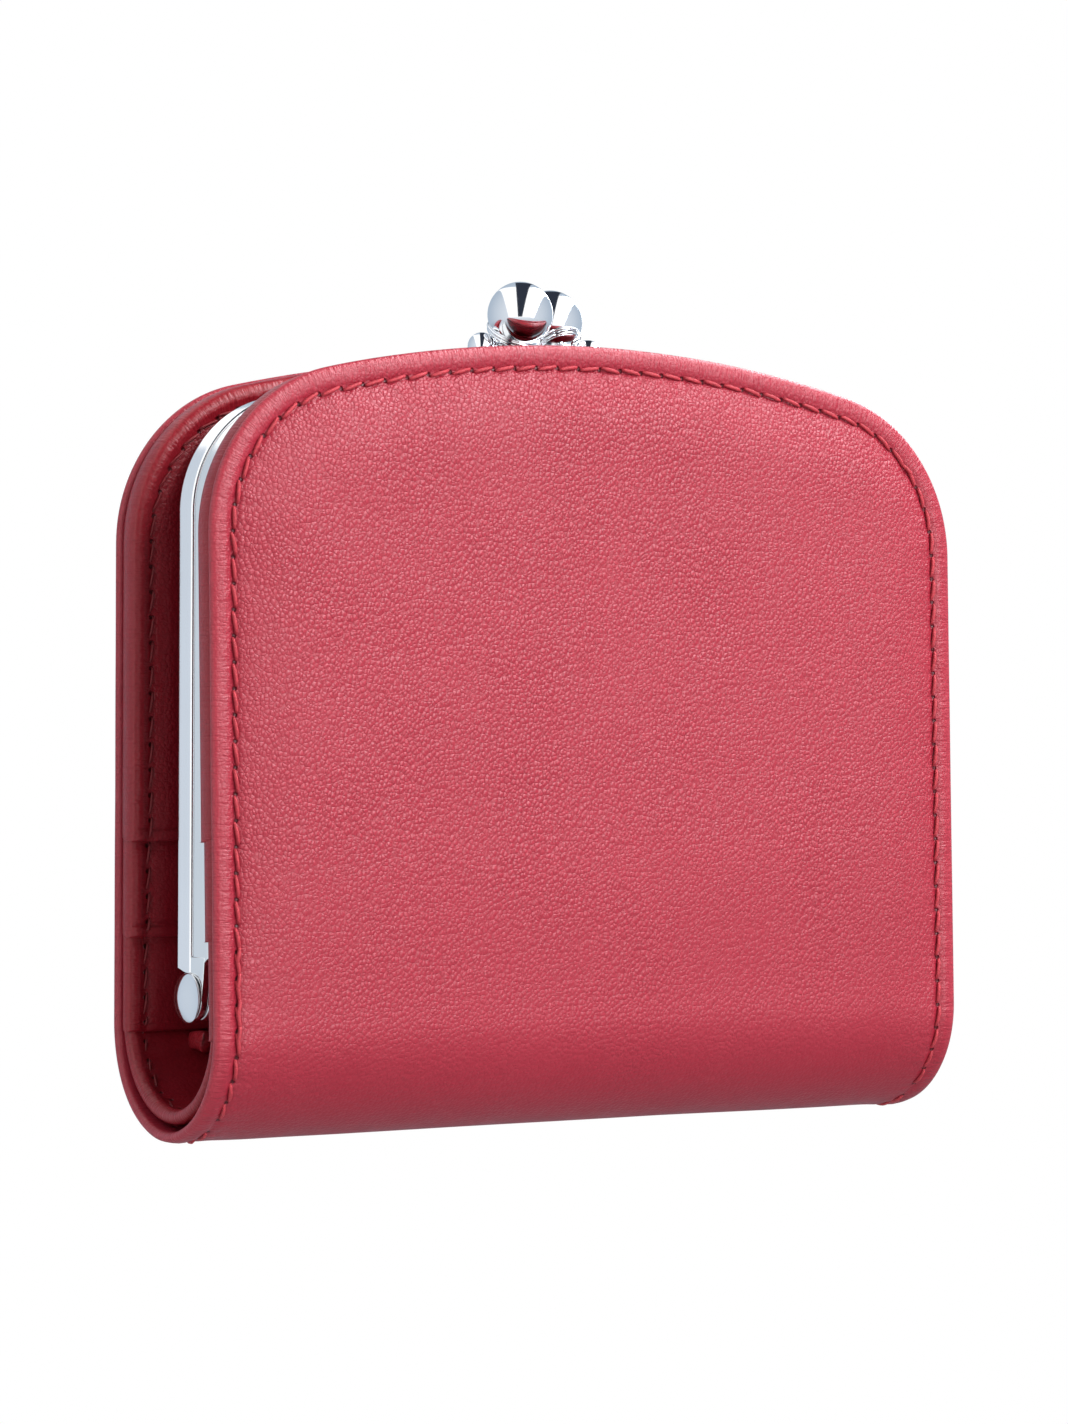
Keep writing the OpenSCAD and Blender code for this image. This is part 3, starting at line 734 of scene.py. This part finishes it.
# Metal parts
def lathe(profile, origin, axis, segments):
    """Vertices and faces of a profile of (radius, height) turned round an axis."""
    axis = unit(np.asarray(axis, float))
    a, b = square_to(axis)
    verts = []
    for r, h in profile:
        verts += [np.asarray(origin) + h * axis + r * turned(2 * math.pi * i / segments, a, b)
                  for i in range(segments)]
    return verts, grid_faces(len(profile), segments, 0, False, True)


def frame_section(front):
    """Outer face, flange and channel of one half as (inset, height above the seam)."""
    face = [(0.04, 0.34), (0.10, 0.20), (0.20, 0.09), (0.34, 0.02), (0.5, 0.0), (1.2, 0.0), (1.8, 0.0),
            (2.4, 0.0), (2.9, 0.0), (3.2, 0.0), (3.40, 0.03), (3.53, 0.13), (3.6, 0.32)]
    made = [((0.16 + 0.40 * t / 3.6 if front > 0 else 0.0) + bevel, t) for t, bevel in face]
    made += [(1.4, 3.6), (4.1, 3.6), (4.40, 3.54), (4.5, 3.36), (4.5, 2.95), (4.44, 2.80), (4.25, 2.75)]
    made += [(1.45, 2.75), (1.25, 2.55), (1.25, 1.05), (1.45, 0.85), (4.25, 0.85), (4.44, 0.80), (4.5, 0.65)]
    return made + [(4.5, 0.25), (4.44, 0.10), (4.25, 0.05), (2.0, 0.05)]


def eye(side, x0, front):
    """Round eye of an arm with its neck; front is 1 or -1 for the half it belongs to."""
    pts = [(4.85, 0.05), (4.85, 1.4), (4.85, 2.7), (2.4, 2.7)]
    turns = np.linspace(math.pi / 2, 2 * math.pi + 0.0185, 40)
    pts += [(2.7 * math.cos(a), 2.7 * math.sin(a)) for a in turns]
    pts.append((3.8, 0.05))
    loops = []
    for r, t in ((0, 0.0), (1, 0.0), (2, 0.16), (2, 0.84), (1, 1.0), (0, 1.0)):
        ring = []
        for y, z in pts:
            d = math.hypot(y, z)
            k = 1.05 / d if r == 0 else ((d - 0.14) / d if r == 1 else 1.0)
            sink = 0.14 * z * float(smooth01((y - 1.2) / 2.0)) * (front > 0) if r else 0.0
            ring.append((side * (x0 + t - sink), RIVET_Y + k * y, SEAM_Z + front * k * z))
        loops.append(ring)
    return [p for ring in loops for p in ring], grid_faces(6, len(pts), 0, True, True)


def half_frame(name, front, eye_x):
    pts, nrm = outline(FRAME_W, FRAME_TOP, FRAME_CROWN, FRAME_CORNER, ARM_LOW, 0.8, (0, 0.1, 0.3))
    verts = []
    section = frame_section(front)
    for m, z in section:
        q = pts - m * nrm
        low = np.clip(1 - (q[:, 1] - ARM_LOW) / 3.0, 0, 1)
        y = q[:, 1] + (1.9 if front > 0 else 0.5) * float(smooth01((z - 1.0) / 2.6)) * low
        verts.append(np.stack([q[:, 0], y, np.full(len(q), SEAM_Z + front * z)], 1))
    count = len(pts)
    faces = grid_faces(len(section), count, 0, True, False)
    for j in (0, count - 1):
        faces.append(tuple(k * count + j for k in range(len(section))))
    parts = [(np.concatenate(verts), faces), eye(1, eye_x - 1.0, front), eye(-1, eye_x - 1.0, front)]
    ob = new_mesh(name, *joined(parts), front_frame_shaded_mat if front > 0 else rear_frame_mat, None, False)
    ob.modifiers.new("edge", "WEIGHTED_NORMAL").keep_sharp = True
    return ob


def rivet(name, side):
    """Rivet through both eyes; the face of its head leans a little."""
    prof = [(0.0, 44.2), (1.45, 44.2), (1.72, 44.26), (1.8, 44.4), (1.8, 44.62), (1.7, 44.76), (1.0, 44.8)]
    prof += [(1.0, 47.2), (2.6, 47.25), (2.86, 47.28), (2.95, 47.38), (2.96, 47.50), (2.93, 47.60)]
    prof += [(2.86, 47.68), (2.72, 47.76), (2.5, 47.84), (2.1, 47.95), (1.6, 48.05), (1.1, 48.12)]
    prof += [(0.55, 48.16), (0.0, 48.17)]
    v, f = lathe(prof, (0, RIVET_Y, SEAM_Z), (side, 0, 0), 64)
    out = []
    for x, y, z in v:
        lean = max(0.0, abs(x) - 47.5) / 0.66 * 0.235
        out.append((x - side * lean * (z - SEAM_Z + 1.0), y, z))
    return new_mesh(name, out, f, nickel_mat)


def rope(start, end, radius, pitch):
    """Two strands twisted round each other from start to end."""
    length = np.linalg.norm(end - start)
    way = (end - start) / length
    a, b = square_to(way)
    parts = []
    n = max(12, int(length / pitch * 16))
    for phase in (0, math.pi):
        pts = []
        for t in (i / n for i in range(n + 1)):
            q = 2 * math.pi * t * length / pitch + phase
            pts.append(start + way * length * t + 0.48 * radius * turned(q, a, b))
        parts.append(tube(pts, 0.54 * radius, 10))
    return parts


def half_point(front, p):
    """A point given in the front half's frame, for either half."""
    return np.array([p[0] * front, p[1], SEAM_Z + front * p[2]])


BALL_R, BEAD_R = 4.0, 1.72
BALL_AT, FOOT_AT, BEAD_AT = (4.0, 51.72, -2.95), (4.5, 44.05, 1.8), (7.9, 47.85, -0.35)


def clasp(word, front, body):
    """Arm, collar, bead and ball of one half."""
    ball, foot, bead = (half_point(front, p) for p in (BALL_AT, FOOT_AT, BEAD_AT))
    way = unit(ball - foot)
    seat = math.sqrt(4.05**2 - (2.75 if front < 0 else 2.2) ** 2)
    bar_end = foot + way * (bead[1] - foot[1]) / way[1]
    ring_at = ball - seat * way
    parts = rope(foot + 0.5 * way, ring_at + 0.2 * way, 0.98, 3.4)
    inward = unit(bar_end - bead)
    parts += rope(bead + 1.2 * inward, bar_end, 0.70, 2.3)
    for lift, wire in ((0.0, 0.27), (0.44, 0.17)):
        rad = math.sqrt(max(0.1, (BALL_R + 0.8 * wire) ** 2 - (seat - lift) ** 2))
        u = unit(np.cross(way, [1.0, 0.0, 0.0]))
        w = np.cross(way, u)
        loop = [ring_at + lift * way + rad * turned(2 * math.pi * i / 72, u, w) for i in range(73)]
        parts.append(tube(loop, wire, 10))
    cup = [(0.0, -1.0), (1.2, -1.0), (1.9, -0.75), (2.45, -0.35), (2.75, 0.05), (2.9, 0.1)]
    parts.append(lathe(cup, ring_at, way, 40))
    flange = [(0.0, -0.1), (1.5, -0.1), (1.75, 0.05), (1.8, 0.3), (1.6, 0.55), (1.15, 0.75), (1.0, 1.0),
              (0.0, 1.0)]
    parts.append(lathe(flange, foot + 0.45 * way, way, 32))
    bead_prof = [(BEAD_R * math.sin(a), -BEAD_R * math.cos(a)) for a in np.linspace(0, math.pi, 25)]
    parts.append(lathe(bead_prof, bead, inward, 40))
    neck = [(0.75, 1.28), (0.95, 1.2), (1.0, 1.45), (0.9, 1.7), (0.7, 1.8)]
    parts.append(lathe(neck, bead, inward, 24))
    arm = new_mesh(f"{word}_clasp_arm_rope", *joined(parts), nickel_mat, None, False)
    finish_piece(arm, "nickel", f"{word}_clasp_arm")
    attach(arm, body)
    low = math.asin(0.34)
    prof = [(0.0, -BALL_R * math.cos(low)), (BALL_R * 0.30, -BALL_R * math.cos(low) - 0.005)]
    prof += [(BALL_R * math.sin(a), -BALL_R * math.cos(a)) for a in np.linspace(low, math.pi, 44)]
    knob = new_mesh(f"{word}_clasp_ball_polished", *lathe(prof, ball, way, 72), nickel_mat)
    finish_piece(knob, "nickel", f"{word}_clasp_ball")
    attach(knob, body)


# Pouch
def soft_wall(name, front, low, bulge, seed):
    """One wall of the coin pouch: gripped by the frame, full in the middle, with a rolled lower edge."""
    sizes = (FRAME_W, FRAME_TOP, FRAME_CROWN, FRAME_CORNER)
    up = outline(*(size - 0.97 for size in sizes), -25.3, 1.0, ())[0]
    right = []
    for i in range(14):
        a = -math.pi / 2 + math.pi / 2 * i / 14
        right.append((37.0 + 5.9 * math.cos(a), low + 5.9 + 5.9 * math.sin(a)))
    for y in np.arange(low + 6.0, -25.6, 0.8):
        right.append((42.9, y))
    for i in range(1, 5):
        t = i / 5
        right.append((42.9 + 3.23 * float(smooth01(t)), -25.6 + 0.3 * t))
    bottom = [(x, low) for x in np.linspace(-36, 36, 49)]
    left = [(-x, y) for x, y in reversed(right)]
    loop = np.array([tuple(p) for p in bottom] + right + [tuple(p) for p in up] + left)
    goal = np.stack([np.clip(loop[:, 0], -8, 8), np.clip(loop[:, 1], low + 32, FRAME_TOP - 36)], 1)
    dist = np.linalg.norm(goal - loop, axis=1)
    fr = [0.004, 0.012, 0.03, 0.055, 0.09, 0.13, 0.18, 0.24, 0.31, 0.39, 0.48, 0.58, 0.7, 0.84, 1.0]
    rows = [(f, 0) for f in reversed(fr)] + [(0.0, 0.25), (-0.002, 0.5), (0.0, 0.75)] + [(f, 1) for f in fr]
    verts, uv = [], []
    for f, k in rows:
        q = loop + (goal - loop) * f
        m = f * dist
        rise = bulge * (1 - (1 - np.clip((m - 5.0) / 24.0, 0, 1)) ** 2)
        wr = noise_row(*q.T, 0.06, 0.03, 1, seed) * smooth01((m - 4) / 10)
        z = 1.77 + 0.86 * k + rise * 0.94 - 0.5 * np.abs(wr) * smooth01(m / 12)
        verts.append(np.stack([q[:, 0], q[:, 1], SEAM_Z + front * z], 1))
        uv.append(np.stack([np.full(len(q), 0.5), m / UV_SPAN + 0.5], 1))
    faces = capped(grid_faces(len(rows), len(loop), 0, False, True), len(rows), len(loop))
    return new_mesh(name, np.concatenate(verts), faces, pouch_mat, np.concatenate(uv))


def bottom_trough(name):
    """Rounded bottom of the pouch between its two walls."""
    top = -34.9
    turns = [math.pi * i / 14 for i in range(15)]
    loop = [(top - 2.3 * math.sin(a), 2.15 * math.cos(a)) for a in turns]
    loop += [(top - 1.55 * math.sin(a), 1.45 * math.cos(a)) for a in reversed(turns)]
    xs = [-37.0, -36.7, -36.0] + list(np.linspace(-34, 34, 60)) + [36.0, 36.7, 37.0]
    verts = []
    for x in xs:
        k = 0.78 + 0.22 * math.sqrt(max(0.0, 1 - max(0.0, (abs(x) - 36.0)) ** 2))
        sag = 0.10 * rnd(x * 0.08, 2.0, 0, 4)
        for y, z in loop:
            verts.append((x, top + (y - top) * k + sag, SEAM_Z + z * k))
    faces = capped(grid_faces(len(xs), len(loop), 0, False, True), len(xs), len(loop))
    return new_mesh(name, verts, faces, pouch_mat)


def gusset(name, side):
    """Side gusset: one sheet folded once, its two leaves on each other while the pouch is closed."""
    low, high, edge = -27.5, 12.3, 42.3
    depth = 18.3
    us = np.linspace(0, 1, 34)
    leaf = [i / 8 for i in range(9)]
    bent = [(1.0, z) for z in (-0.3, -0.1, 0.1, 0.3)]
    across = [(v, -0.5) for v in leaf] + bent + [(v, 0.5) for v in leaf[::-1]]
    verts = []
    for t in (-0.5, 0.5):
        for v, z in across:
            for u in us:
                x = edge - (depth * u * v + 0.15)
                wave = 0.10 * rnd(v * 1.5, u * 4, 0, 6 + side)
                half = 0.22 * t * 2
                if v >= 1:
                    x -= math.sqrt(max(0.0, 0.25 - z * z)) * 0.6 + half * 0.4
                    half = 0
                half *= 1 if z >= 0 else -1
                verts.append((side * x, low + (high - low) * u, SEAM_Z + z + half + wave * 0.4))
    n, k = len(us), len(across)
    faces = grid_faces(k, n)
    faces += [tuple(reversed(f)) for f in grid_faces(k, n, k * n)]
    base = k * n
    rim = list(range(n)) + [r * n + n - 1 for r in range(1, k)]
    rim += [(k - 1) * n + i for i in range(n - 2, -1, -1)] + [r * n for r in range(k - 2, 0, -1)]
    for i, a in enumerate(rim):
        b = rim[(i + 1) % len(rim)]
        faces.append((a, b, base + b, base + a))
    return new_mesh(name, verts, faces, pouch_mat)


def page_tab(name):
    """Leather tab from the bottom of the pouch down to the lining inside the fold."""
    half = 44.2
    xs = [-half, 0.06 - half, 0.2 - half, 0.45 - half] + list(np.linspace(1.2 - half, half - 1.2, 80))
    xs += [half - 0.45, half - 0.2, half - 0.06, half]
    low_z, top_z, middle_y = 4.55, 8.0, -35.9
    up = [i / 10 for i in range(11)]
    sect = [(t, -1) for t in up] + [(t, 1) for t in reversed(up)]
    verts = []
    for x in xs:
        k = math.sqrt(max(0.05, 1 - (max(0.0, abs(x) - half + 0.4) / 0.4) ** 2))
        flare = float(smooth01((abs(x) - half + 4.0) / 3.0))
        for t, s in sect:
            z = low_z + (top_z - low_z) * t
            bow = 0.10 * math.sin(math.pi * t)
            thick = 0.40 + 0.85 * flare * (0.75 + 0.25 * t)
            y = middle_y + thick * s * k + bow + 0.05 * rnd(x * 0.1, t * 3, 0, 3)
            verts.append((x, y, z + 0.3 * flare * t * s))
    faces = capped(grid_faces(len(xs), len(sect), 0, False, True), len(xs), len(sect))
    return new_mesh(name, verts, faces, pouch_mat)


# The pieces on their bodies
finish_piece(outer_rear, "outer_leather", "rear_cover_leather")
finish_piece(outer_fold, "outer_leather", "spine_cover_rear", "spine_cover_front")
finish_piece(outer_front, "outer_leather", "front_cover_leather")
finish_piece(lining_rear, "lining_leather", "rear_lining")
finish_piece(lining_fold, "lining_leather", "spine_lining_rear", "spine_lining_front")
finish_piece(lining_front, "lining_leather", "front_lining")
for hinge, group in enumerate(((outer_rear, lining_rear, threads[0], threads[3]),
                               (outer_fold, lining_fold, threads[1], threads[4]),
                               (outer_front, lining_front, threads[2], threads[5]))):
    for ob in group:
        bend(ob, hinge)
for side, word in ((-1, "rear"), (1, "front")):
    foam = foam_leaf(f"{word}_foam", side)
    finish_piece(foam, "padding", f"{word}_padding")
    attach(foam, f"{word}_cover")

rear_frame = finish_piece(half_frame("rear_half_frame_polished", -1, 45.95), "nickel", "rear_half_frame")
front_frame = finish_piece(half_frame("front_half_frame_polished", 1, 47.1), "nickel", "front_half_frame")
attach(rear_frame, "rear_cover")
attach(front_frame, "purse_front")
for side, word in ((-1, "left"), (1, "right")):
    ob = finish_piece(rivet(f"{word}_rivet_polished", side), "nickel", f"{word}_hinge_rivet")
    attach(ob, "rear_cover")
clasp("rear", -1, "rear_cover")
clasp("front", 1, "purse_front")

rear_wall = soft_wall("pouch_rear_leather", -1, -37.2, 2.05, 2)
finish_piece(rear_wall, "pouch_leather", "pouch_rear_wall")
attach(rear_wall, "rear_cover")
front_wall = soft_wall("pouch_front_leather", 1, -36.9, 2.9, 5)
finish_piece(front_wall, "pouch_leather", "pouch_front_wall")
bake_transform(front_wall)
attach(finish_piece(bottom_trough("pouch_bottom_leather"), "pouch_leather", "pouch_bottom"), "rear_cover")
for side, word in ((-1, "left"), (1, "right")):
    ob = finish_piece(gusset(f"{word}_gusset_leather", side), "pouch_leather", f"{word}_gusset")
    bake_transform(ob)
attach(finish_piece(page_tab("page_tab_leather"), "pouch_leather", "page_tab"), "rear_cover")

for node, mat in (("stiffener", board_mat), ("frame_cord", paper_mat)):
    for word in ("rear", "front"):
        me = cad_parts[f"{word}_{node}"].data
        me.materials.clear()
        me.materials.append(mat)


# Stage, light and camera
YAW, ROLL, DIST = math.radians(32.18), 0.004, 489.3
LAMP_DIST, LAMP_RISE = 0.8, 0.02
target = np.array([0.0, -0.09, 14.55])
back_dir = np.array([-math.sin(YAW), -0.001, math.cos(YAW)])
right_dir = unit(np.cross([0, 1.0, 0], back_dir))
up_dir = np.cross(back_dir, right_dir)
r2, u2 = turned(ROLL, right_dir, up_dir), turned(ROLL, up_dir, -right_dir)

bpy.ops.mesh.primitive_plane_add(size=1, location=(0, 0, -0.0004))
floor = bpy.context.object
floor.name = "floor"
floor.scale = (6, 6, 1)
ground = Nodes(bpy.data.materials.new("floor_mat"))
ground.tree.nodes.clear()
seen = ground.node("ShaderNodeMixShader", {
    0: ground.node("ShaderNodeLightPath").outputs["Is Camera Ray"],
    1: ground.node("ShaderNodeBsdfDiffuse", {"Color": (0.80, 0.80, 0.81, 1)}).outputs[0],
    2: ground.node("ShaderNodeEmission", {"Color": (1, 1, 1, 1), "Strength": 1.0}).outputs[0]})
ground.node("ShaderNodeOutputMaterial", {0: seen.outputs[0]})
floor.data.materials.append(ground.owner)
floor.visible_glossy = False

world = bpy.context.scene.world or bpy.data.worlds.new("World")
bpy.context.scene.world = world
sky = Nodes(world)
sky.tree.nodes.clear()
way = sky.node("ShaderNodeTexCoord").outputs["Generated"]


def along(vec):
    n = sky.node("ShaderNodeVectorMath", {0: way, 1: vec.tolist()}, operation="DOT_PRODUCT")
    return n.outputs["Value"]


# Place of a reflection on a mirror ball looked at from the photograph's side: x right, y up, the rim at 1.
# The directions are fixed in the world, so the room stays still when the camera moves.
half_way = sky.math("SQRT", sky.math("MAXIMUM", sky.add(0.5, sky.mul(along(back_dir), 0.5)), 0.0004))
half_way = sky.mul(half_way, 2.0)
ball_x, ball_y = sky.math("DIVIDE", along(r2), half_way), sky.math("DIVIDE", along(u2), half_way)
height = sky.add(ball_y, 0.11)
off = sky.math("ABSOLUTE", sky.sub(ball_x, sky.mul(height, 0.07)))


def limit(value, edge, soft):
    """1 where value is below edge, with a soft border."""
    return sky.math("DIVIDE", sky.sub(edge, value), soft, True)


def window(half, spread, side_soft, low, top, soft):
    """A bright or dark field that widens upwards."""
    made = sky.mul(limit(off, sky.add(half, sky.mul(height, spread)), side_soft), limit(low, height, soft))
    return sky.mul(made, limit(ball_y, top, soft))


def background(colour, strength=1.0):
    return sky.node("ShaderNodeBackground", {"Color": (*colour, 1), "Strength": strength}).outputs[0]


def over(where, below, above):
    return sky.node("ShaderNodeMixShader", {0: where, 1: below, 2: above}).outputs[0]


right_box = sky.mul(window(0.43, 0.28, 0.03, -0.03, 0.83, 0.03), limit(0.33, ball_x, 0.18))
rim = sky.math("ADD", sky.mul(ball_x, ball_x), sky.mul(ball_y, ball_y), True)
mirror = over(rim, background((0.82, 0.87, 0.93)), background((0.42, 0.51, 0.62)))
for where, colour, strength in ((limit(height, -0.05, 0.25), (0.30, 0.32, 0.36), 1.0),
                                (window(0.36, 0.30, 0.02, -0.03, 0.83, 0.03), (1, 1, 1), 1.3),
                                (right_box, (0.90, 0.94, 1.0), 13.0),
                                (window(0.072, 0.135, 0.012, -0.01, 0.97, 0.02), (0.030, 0.037, 0.055), 1.0)):
    mirror = over(where, mirror, background(colour, strength))
rays = sky.node("ShaderNodeLightPath").outputs
seen = over(rays["Is Glossy Ray"], background((0.95, 0.97, 1.0), 0.40), mirror)
seen = over(rays["Is Camera Ray"], seen, background((1, 1, 1)))
sky.node("ShaderNodeOutputWorld", {0: seen})


def placed(right, up, back, place):
    """Matrix of a lamp or camera that looks against back."""
    return Matrix([[right[i], up[i], back[i], place[i]] for i in range(3)] + [[0, 0, 0, 1]])


def direction(tau, psi):
    """Direction at tau degrees from the camera's, turned psi degrees to the right of straight up."""
    t, p = math.radians(tau), math.radians(psi)
    return turned(t, back_dir, turned(p, u2, r2))


def softbox(name, near, far, width, power):
    """Long area light between two directions, facing the object."""
    a, b = LAMP_DIST * direction(*near), LAMP_DIST * direction(*far)
    place = (a + b) / 2
    long_way, back_way = unit(b - a), unit(place)
    back_way = unit(back_way - long_way * (back_way @ long_way))
    data = bpy.data.lights.new(name, "AREA")
    data.shape = "RECTANGLE"
    data.size, data.size_y = width, float(np.linalg.norm(b - a))
    data.energy = power
    ob = bpy.data.objects.new(name, data)
    bpy.context.scene.collection.objects.link(ob)
    ob.visible_glossy = False
    place = place + np.array([0, 0, LAMP_RISE])
    ob.matrix_world = placed(np.cross(long_way, back_way), long_way, back_way, place)


softbox("softbox_left", (28, -105), (112, -27), 0.34, 2.0)
softbox("softbox_right", (28, 95), (112, 27), 0.34, 10.0)
softbox("softbox_low", (52, 120), (52, 190), 0.30, 1.7)

cam_data = bpy.data.cameras.new("camera")
cam = bpy.data.objects.new("camera", cam_data)
bpy.context.scene.collection.objects.link(cam)
cam.matrix_world = placed(r2, u2, back_dir, (target + DIST * back_dir) * MM)
cam_data.lens, cam_data.sensor_width = 101.16, 36
cam_data.shift_x, cam_data.shift_y = -0.0111, 0.0195
cam_data.clip_start, cam_data.clip_end = 0.01, 20
bpy.context.scene.camera = cam
bpy.context.scene.view_settings.view_transform = "Standard"
